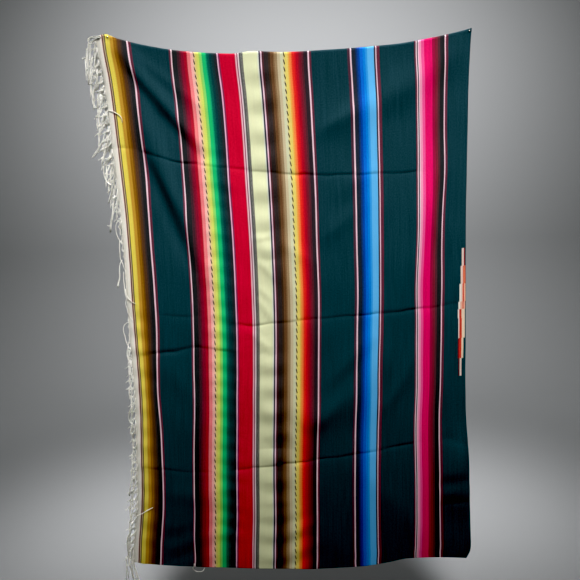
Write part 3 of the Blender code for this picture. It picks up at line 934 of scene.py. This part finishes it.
    def stick_out(self, knot):
        """The cut end of a knot, pointing away from the cloth."""
        length = self.random.uniform(*STICK_LENGTH)
        tip = knot + Vector((-length, self.stray(0.001),
                             -length * self.random.uniform(*STICK_FALL)))
        middle = knot.lerp(tip, 0.5) + Vector((0, 0, self.stray(0.0015)))
        self.add_yarn([knot, middle, tip], 0.0004)

    def lay_hanks(self):
        """Loose ends beside the header hang level with it, and others lie over the cloth."""
        for hank in HANKS:
            for _ in range(hank.yarns):
                route, forward = [], self.random.uniform(*HANK_FORWARD)
                for x, z in hank.route:
                    x, z = x / 1000, z / 1000
                    line = float(np.interp(-z, -edge_z, edge_x))
                    depth = -float(np.interp(-z, -edge_z, edge_depth)) - forward
                    if x > line - 0.001:
                        hit = cloth_surface.ray_cast(Vector((x, -0.3, z)), Vector((0, 1, 0)))[0]
                        if hit:
                            depth = hit.y - YARN_RADIUS - 0.0004
                    route.append(Vector((x, depth, z)))
                self.add_yarn(route, hank.splay / 1000)

    def spin(self, name):
        """Every yarn as a thin tube in one mesh, with its length and twist as an attribute."""
        curve = bpy.data.curves.new(name, "CURVE")
        curve.dimensions = "3D"
        curve.bevel_depth = YARN_RADIUS
        curve.bevel_resolution = (YARN_SIDES - 4) // 2
        curve.resolution_u = YARN_STEPS
        for route in self.yarns:
            spline = curve.splines.new("BEZIER")
            spline.bezier_points.add(len(route) - 1)
            for point, place in zip(spline.bezier_points, route):
                point.co = place
                point.handle_left_type = point.handle_right_type = "AUTO"
            spline.bezier_points[-1].radius = 0.7
        path = bpy.data.objects.new(name, curve)
        bpy.context.collection.objects.link(path)
        tubes = bpy.data.meshes.new_from_object(path)
        bpy.data.objects.remove(path)
        bpy.data.curves.remove(curve)

        rings = [YARN_STEPS * (len(route) - 1) + 1 for route in self.yarns]
        assert sum(rings) * YARN_SIDES == len(tubes.vertices), (sum(rings), len(tubes.vertices))
        places = np.empty(len(tubes.vertices) * 3)
        tubes.vertices.foreach_get("co", places)
        centres = places.reshape(-1, YARN_SIDES, 3).mean(1)
        lengths, first = [], 0
        for count in rings:
            steps = np.linalg.norm(np.diff(centres[first:first + count], axis=0), axis=1)
            lengths.append(np.concatenate(([0], np.cumsum(steps))))
            first += count
        turn = np.arange(YARN_SIDES) * 2 * math.pi / YARN_SIDES
        twist = np.empty((len(centres), YARN_SIDES, 3))
        twist[:, :, 0] = np.concatenate(lengths)[:, None]
        twist[:, :, 1], twist[:, :, 2] = np.cos(turn), np.sin(turn)
        layer = tubes.attributes.new("spun", "FLOAT_VECTOR", "POINT")
        layer.data.foreach_set("vector", twist.ravel())

        ends = bmesh.new()
        ends.from_mesh(tubes)
        rims = [edge for edge in ends.edges if edge.is_boundary]
        bmesh.ops.holes_fill(ends, edges=rims, sides=0)
        bmesh.ops.recalc_face_normals(ends, faces=ends.faces)
        bpy.data.meshes.remove(tubes)
        return finish_piece(ends, name)


PLY_TWIST = 0.0052           # one turn of the yarn's plies


def cotton_material():
    material, nodes, shader = new_material("cotton yarn")
    spun = nodes.add("ShaderNodeAttribute", attribute_name="spun").outputs["Vector"]
    length, across, over = nodes.add("ShaderNodeSeparateXYZ", spun).outputs
    angle = nodes.math("ARCTAN2", over, across)
    plies = nodes.scaled(length, math.pi * 2 / PLY_TWIST, angle)
    ridge = nodes.size(nodes.sine(plies))
    place = nodes.add("ShaderNodeTexCoord").outputs["Object"]
    fuzz, soil = nodes.noise(place, 900.0), nodes.noise(place, 26.0)
    colour = nodes.mix(soil, dyed((253, 251, 243)), dyed((240, 236, 224)))
    # painted shade: the yarn's colour is darker in the grooves between the plies and lighter on
    # their crowns
    colour = nodes.darken(colour, nodes.scaled(ridge, 0.18, 0.90))
    nodes.feed(shader.inputs["Base Color"], colour)
    nodes.bump(shader, nodes.scaled(fuzz, 0.35, ridge), 0.6, 0.0004)
    nodes.feed(shader.inputs["Roughness"], nodes.scaled(fuzz, 0.10, 0.84))
    shader.inputs["Specular IOR Level"].default_value = 0.2
    return material


front_end = FringedEnd(seed=11, inset=0.0, behind=False, share=1.0)
front_end.make_net()
front_end.lay_hanks()
front_fringe = front_end.spin("front_fringe")
back_end = FringedEnd(seed=29, inset=BACK_INSET, behind=True, share=0.45)
back_end.make_net()
back_fringe = back_end.spin("back_fringe")
cotton = cotton_material()
for fringe, node in ((front_fringe, "fringe_front"), (back_fringe, "fringe_back")):
    fringe.data.materials.append(cotton)
    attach(fringe, "root")
    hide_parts(node)


# The pins.
# Two steel wall pins, each with a round domed head pressed to the cloth, a thin shank through
# both layers and a point that ends in the wall. They are turned, then nickel plated.

PIN_SIDES = 32
HEAD_RADIUS, HEAD_HEIGHT = 0.0028, 0.0026
SHANK_RADIUS = 0.0006
PIN_REACH = 0.010
POINT_LENGTH = 0.003
HEAD_CLEARANCE = 0.0015      # from the middle of the cloth to the back of the head
HEAD_FACE = -(FRONT_DEPTH + HEAD_CLEARANCE)
HEAD_RIM = 0.0004            # the straight edge of the head, below its dome
RIM_BEVEL = 0.0002
DOME_STEPS = 8


def pin_profile():
    """From the top of the dome to the point, as (radius, y) places on one side of the axis."""
    profile = []
    for step in range(DOME_STEPS + 1):
        angle = math.pi / 2 * step / DOME_STEPS
        rise = HEAD_RIM + (HEAD_HEIGHT - HEAD_RIM) * math.cos(angle)
        profile.append((HEAD_RADIUS * math.sin(angle), HEAD_FACE - rise))
    return profile + [
        (HEAD_RADIUS, HEAD_FACE - RIM_BEVEL), (HEAD_RADIUS - RIM_BEVEL, HEAD_FACE),
        (SHANK_RADIUS + RIM_BEVEL, HEAD_FACE), (SHANK_RADIUS, HEAD_FACE + 1.5 * RIM_BEVEL),
        (SHANK_RADIUS, PIN_REACH - POINT_LENGTH),
        (SHANK_RADIUS * 0.62, PIN_REACH - POINT_LENGTH * 0.45), (0.0, PIN_REACH),
    ]


def steel_material():
    material, nodes, shader = new_material("plated steel")
    rub = nodes.noise(nodes.add("ShaderNodeTexCoord").outputs["Object"], 700.0, detail=4.0)
    colour = nodes.mix(rub, dyed((212, 211, 208)), dyed((236, 234, 230)))
    nodes.feed(shader.inputs["Base Color"], colour)
    nodes.feed(shader.inputs["Roughness"], nodes.scaled(rub, 0.22, 0.12))
    nodes.bump(shader, rub, 0.1, 0.0001)
    shader.inputs["Metallic"].default_value = 1.0
    return material


steel = steel_material()
for side, (pin_x, pin_z) in (("left", (0.0, 0.0)), ("right", RIGHT_PIN)):
    turned = bmesh.new()
    outline = [turned.verts.new((pin_x + radius, y, pin_z)) for radius, y in pin_profile()]
    cuts = [turned.edges.new(pair) for pair in zip(outline, outline[1:])]
    bmesh.ops.spin(turned, geom=outline + cuts, cent=(pin_x, 0, pin_z), axis=(0, 1, 0),
                   angle=2 * math.pi, steps=PIN_SIDES, use_merge=True, use_duplicate=False)
    bmesh.ops.remove_doubles(turned, verts=turned.verts, dist=0.00001)
    bmesh.ops.recalc_face_normals(turned, faces=turned.faces)
    pin = finish_piece(turned, f"{side}_pin")
    pin.data.materials.append(steel)
    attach(pin, "root")
    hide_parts(f"pin_{side}")


# The floor.
# A plain pale sweep, well clear of the hanging cloth, that turns up far behind it.

FLOOR_LEVEL = -1.78
FLOOR_FRONT, BEND_START, BEND_RADIUS = -4.0, 2.2, 1.3
SWEEP_LEFT, SWEEP_WIDTH, SWEEP_TOP = -4.5, 10.0, 3.2
sweep = bmesh.new()
profile = [(FLOOR_FRONT, FLOOR_LEVEL), (BEND_START, FLOOR_LEVEL)]
for degrees in range(9, 91, 9):
    angle = math.radians(degrees)
    profile.append((BEND_START + BEND_RADIUS * math.sin(angle),
                    FLOOR_LEVEL + BEND_RADIUS * (1 - math.cos(angle))))
profile.append((BEND_START + BEND_RADIUS, SWEEP_TOP))
line = [sweep.verts.new((SWEEP_LEFT, y, z)) for y, z in profile]
edges = [sweep.edges.new(pair) for pair in zip(line, line[1:])]
drawn = bmesh.ops.extrude_edge_only(sweep, edges=edges)["geom"]
drawn = [part for part in drawn if isinstance(part, bmesh.types.BMVert)]
bmesh.ops.translate(sweep, verts=drawn, vec=(SWEEP_WIDTH, 0, 0))
bmesh.ops.recalc_face_normals(sweep, faces=sweep.faces)
floor = finish_piece(sweep, "floor")
paint, _, paint_shader = new_material("pale floor")
paint_shader.inputs["Base Color"].default_value = (0.29, 0.294, 0.30, 1.0)
paint_shader.inputs["Roughness"].default_value = 0.9
floor.data.materials.append(paint)


# Light and camera.
# A narrow light from above rakes the folds, a wide one fills them and one lights the sweep.
# The camera stands a little below the middle of the cloth and looks slightly down.

def area_light(name, place, target, size, power, spread):
    light = bpy.data.lights.new(name, "AREA")
    light.shape = "RECTANGLE"
    light.size, light.size_y = size
    light.energy = power
    light.spread = math.radians(spread)
    lamp = bpy.data.objects.new(name, light)
    lamp.location = place
    lamp.rotation_euler = (Vector(target) - Vector(place)).to_track_quat("-Z", "Y").to_euler()
    bpy.context.collection.objects.link(lamp)


area_light("key", (0.58, -1.8, 3.0), (0.5, 0.0, -0.49), (2.4, 0.5), 10.0, 20)
area_light("fill", (0.7, -3.2, 0.6), (0.5, 0.0, -0.3), (2.0, 2.0), 3.4, 120)
area_light("back", (0.6, 0.6, 2.6), (0.6, 3.5, 0.1), (4.4, 1.0), 128, 120)

world = bpy.data.worlds.new("soft fill")
world.use_nodes = True
sky = world.node_tree.nodes["Background"]
sky.inputs["Color"].default_value = (0.92, 0.95, 1.0, 1.0)
sky.inputs["Strength"].default_value = 0.08
scene = bpy.context.scene
scene.world = world
scene.view_settings.view_transform = "Standard"
scene.view_settings.look = "Medium High Contrast"
scene.view_settings.use_curve_mapping = True
scene.view_settings.curve_mapping.black_level = (0.030, 0.0285, 0.032)

CAMERA_PLACE = (0.4812, -1.256, -0.618)
FOCAL_LENGTH, SENSOR_WIDTH = 27.06, 36.0     # mm
PITCH_DOWN, ROLL = math.radians(4.28), math.radians(-1.7)
ahead = Vector((0, math.cos(PITCH_DOWN), -math.sin(PITCH_DOWN)))
level_right = Vector((1, 0, 0))
level_up = level_right.cross(ahead)
right = level_right * math.cos(ROLL) + level_up * math.sin(ROLL)
up = level_up * math.cos(ROLL) - level_right * math.sin(ROLL)
lens = bpy.data.cameras.new("camera")
lens.lens = FOCAL_LENGTH
lens.sensor_width = SENSOR_WIDTH
camera = bpy.data.objects.new("camera", lens)
turned = Matrix((right, up, -ahead)).transposed().to_4x4()
camera.matrix_world = Matrix.Translation(CAMERA_PLACE) @ turned
bpy.context.collection.objects.link(camera)
scene.camera = camera
